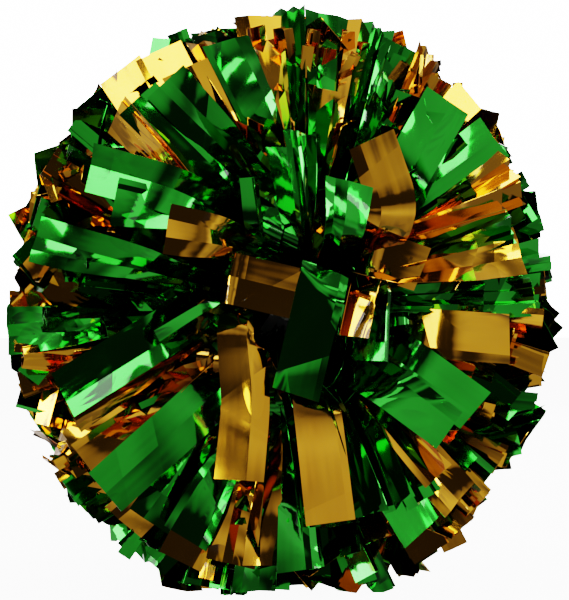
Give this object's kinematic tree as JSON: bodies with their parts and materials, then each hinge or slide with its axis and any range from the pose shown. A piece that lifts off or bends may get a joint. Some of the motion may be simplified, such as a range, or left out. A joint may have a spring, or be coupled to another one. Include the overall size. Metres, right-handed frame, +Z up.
{
  "type": "cheer pom pom",
  "caption": "Cheerleading pom pom: a short baton handle with a round tuft of shiny green and gold film strips at each end, free to turn on the handle",
  "frame": {"origin": "on the surface the pom pom lies on, under the middle of the grip", "axes": "+Y along the baton from the front tuft to the rear tuft, +Z up, +X to the right when the front tuft is looked at along +Y"},
  "size_m": [0.2134, 0.28, 0.2271],
  "materials": {
    "film_green": "polished",
    "film_gold": "polished",
    "handle_black": "satin",
    "knob_black": "satin",
    "plug_white": "matte",
    "tie_black": "satin",
    "screw_steel": "polished"
  },
  "bodies": {
    "baton": {"grip_tube": "handle_black", "front_collar": "handle_black", "front_end_plug": "plug_white", "front_knob": "knob_black", "front_knob_screw": "screw_steel", "rear_collar": "handle_black", "rear_end_plug": "plug_white", "rear_knob": "knob_black", "rear_knob_screw": "screw_steel"},
    "front_bundle": {"front_cable_tie": "tie_black", "front_film_roll_1_green": "film_green", "front_film_roll_2_gold": "film_gold", "front_film_roll_3_green": "film_green", "front_film_roll_4_gold": "film_gold", "front_crown_strips_green": "film_green", "front_crown_strips_gold": "film_gold", "front_shoulder_strips_green": "film_green", "front_shoulder_strips_gold": "film_gold", "front_side_strips_green": "film_green", "front_side_strips_gold": "film_gold"},
    "front_parting_1": {"front_parting_1_strips_green": "film_green", "front_parting_1_strips_gold": "film_gold"},
    "front_parting_2": {"front_parting_2_strips_green": "film_green", "front_parting_2_strips_gold": "film_gold"},
    "front_parting_3": {"front_parting_3_strips_green": "film_green", "front_parting_3_strips_gold": "film_gold"},
    "front_parting_4": {"front_parting_4_strips_green": "film_green", "front_parting_4_strips_gold": "film_gold"},
    "front_parting_5": {"front_parting_5_strips_green": "film_green", "front_parting_5_strips_gold": "film_gold"},
    "front_parting_6": {"front_parting_6_strips_green": "film_green", "front_parting_6_strips_gold": "film_gold"},
    "rear_bundle": {"rear_cable_tie": "tie_black", "rear_film_roll_1_green": "film_green", "rear_film_roll_2_gold": "film_gold", "rear_film_roll_3_green": "film_green", "rear_film_roll_4_gold": "film_gold", "rear_crown_strips_green": "film_green", "rear_crown_strips_gold": "film_gold", "rear_shoulder_strips_green": "film_green", "rear_shoulder_strips_gold": "film_gold", "rear_side_strips_green": "film_green", "rear_side_strips_gold": "film_gold"},
    "rear_parting_1": {"rear_parting_1_strips_green": "film_green", "rear_parting_1_strips_gold": "film_gold"},
    "rear_parting_2": {"rear_parting_2_strips_green": "film_green", "rear_parting_2_strips_gold": "film_gold"},
    "rear_parting_3": {"rear_parting_3_strips_green": "film_green", "rear_parting_3_strips_gold": "film_gold"},
    "rear_parting_4": {"rear_parting_4_strips_green": "film_green", "rear_parting_4_strips_gold": "film_gold"},
    "rear_parting_5": {"rear_parting_5_strips_green": "film_green", "rear_parting_5_strips_gold": "film_gold"},
    "rear_parting_6": {"rear_parting_6_strips_green": "film_green", "rear_parting_6_strips_gold": "film_gold"}
  },
  "joints": [
    {"name": "front_swivel", "type": "hinge", "parent": "baton", "child": "front_bundle", "pos_m": [0, -0.05, 0.11], "axis": [0, 1, 0], "continuous": true},
    {"name": "front_parting_1_fold", "type": "hinge", "parent": "front_bundle", "child": "front_parting_1", "pos_m": [0, -0.047, 0.09], "axis": [-1, 0, 0], "range_deg": [0, 23], "stiffness_Nm_per_rad": 0.03},
    {"name": "front_parting_2_fold", "type": "hinge", "parent": "front_bundle", "child": "front_parting_2", "pos_m": [0.01732, -0.047, 0.1], "axis": [-0.5, 0, -0.866], "range_deg": [0, 23], "stiffness_Nm_per_rad": 0.03},
    {"name": "front_parting_3_fold", "type": "hinge", "parent": "front_bundle", "child": "front_parting_3", "pos_m": [0.01732, -0.047, 0.12], "axis": [0.5, 0, -0.866], "range_deg": [0, 23], "stiffness_Nm_per_rad": 0.03},
    {"name": "front_parting_4_fold", "type": "hinge", "parent": "front_bundle", "child": "front_parting_4", "pos_m": [0, -0.047, 0.13], "axis": [1, 0, 0], "range_deg": [0, 23], "stiffness_Nm_per_rad": 0.03},
    {"name": "front_parting_5_fold", "type": "hinge", "parent": "front_bundle", "child": "front_parting_5", "pos_m": [-0.01732, -0.047, 0.12], "axis": [0.5, 0, 0.866], "range_deg": [0, 23], "stiffness_Nm_per_rad": 0.03},
    {"name": "front_parting_6_fold", "type": "hinge", "parent": "front_bundle", "child": "front_parting_6", "pos_m": [-0.01732, -0.047, 0.1], "axis": [-0.5, 0, 0.866], "range_deg": [0, 23], "stiffness_Nm_per_rad": 0.03},
    {"name": "rear_swivel", "type": "hinge", "parent": "baton", "child": "rear_bundle", "pos_m": [0, 0.05, 0.11], "axis": [0, 1, 0], "continuous": true},
    {"name": "rear_parting_1_fold", "type": "hinge", "parent": "rear_bundle", "child": "rear_parting_1", "pos_m": [0, 0.047, 0.09], "axis": [1, 0, 0], "range_deg": [0, 23], "stiffness_Nm_per_rad": 0.03},
    {"name": "rear_parting_2_fold", "type": "hinge", "parent": "rear_bundle", "child": "rear_parting_2", "pos_m": [0.01732, 0.047, 0.1], "axis": [0.5, 0, 0.866], "range_deg": [0, 23], "stiffness_Nm_per_rad": 0.03},
    {"name": "rear_parting_3_fold", "type": "hinge", "parent": "rear_bundle", "child": "rear_parting_3", "pos_m": [0.01732, 0.047, 0.12], "axis": [-0.5, 0, 0.866], "range_deg": [0, 23], "stiffness_Nm_per_rad": 0.03},
    {"name": "rear_parting_4_fold", "type": "hinge", "parent": "rear_bundle", "child": "rear_parting_4", "pos_m": [0, 0.047, 0.13], "axis": [-1, 0, 0], "range_deg": [0, 23], "stiffness_Nm_per_rad": 0.03},
    {"name": "rear_parting_5_fold", "type": "hinge", "parent": "rear_bundle", "child": "rear_parting_5", "pos_m": [-0.01732, 0.047, 0.12], "axis": [-0.5, 0, -0.866], "range_deg": [0, 23], "stiffness_Nm_per_rad": 0.03},
    {"name": "rear_parting_6_fold", "type": "hinge", "parent": "rear_bundle", "child": "rear_parting_6", "pos_m": [-0.01732, 0.047, 0.1], "axis": [0.5, 0, -0.866], "range_deg": [0, 23], "stiffness_Nm_per_rad": 0.03}
  ]
}
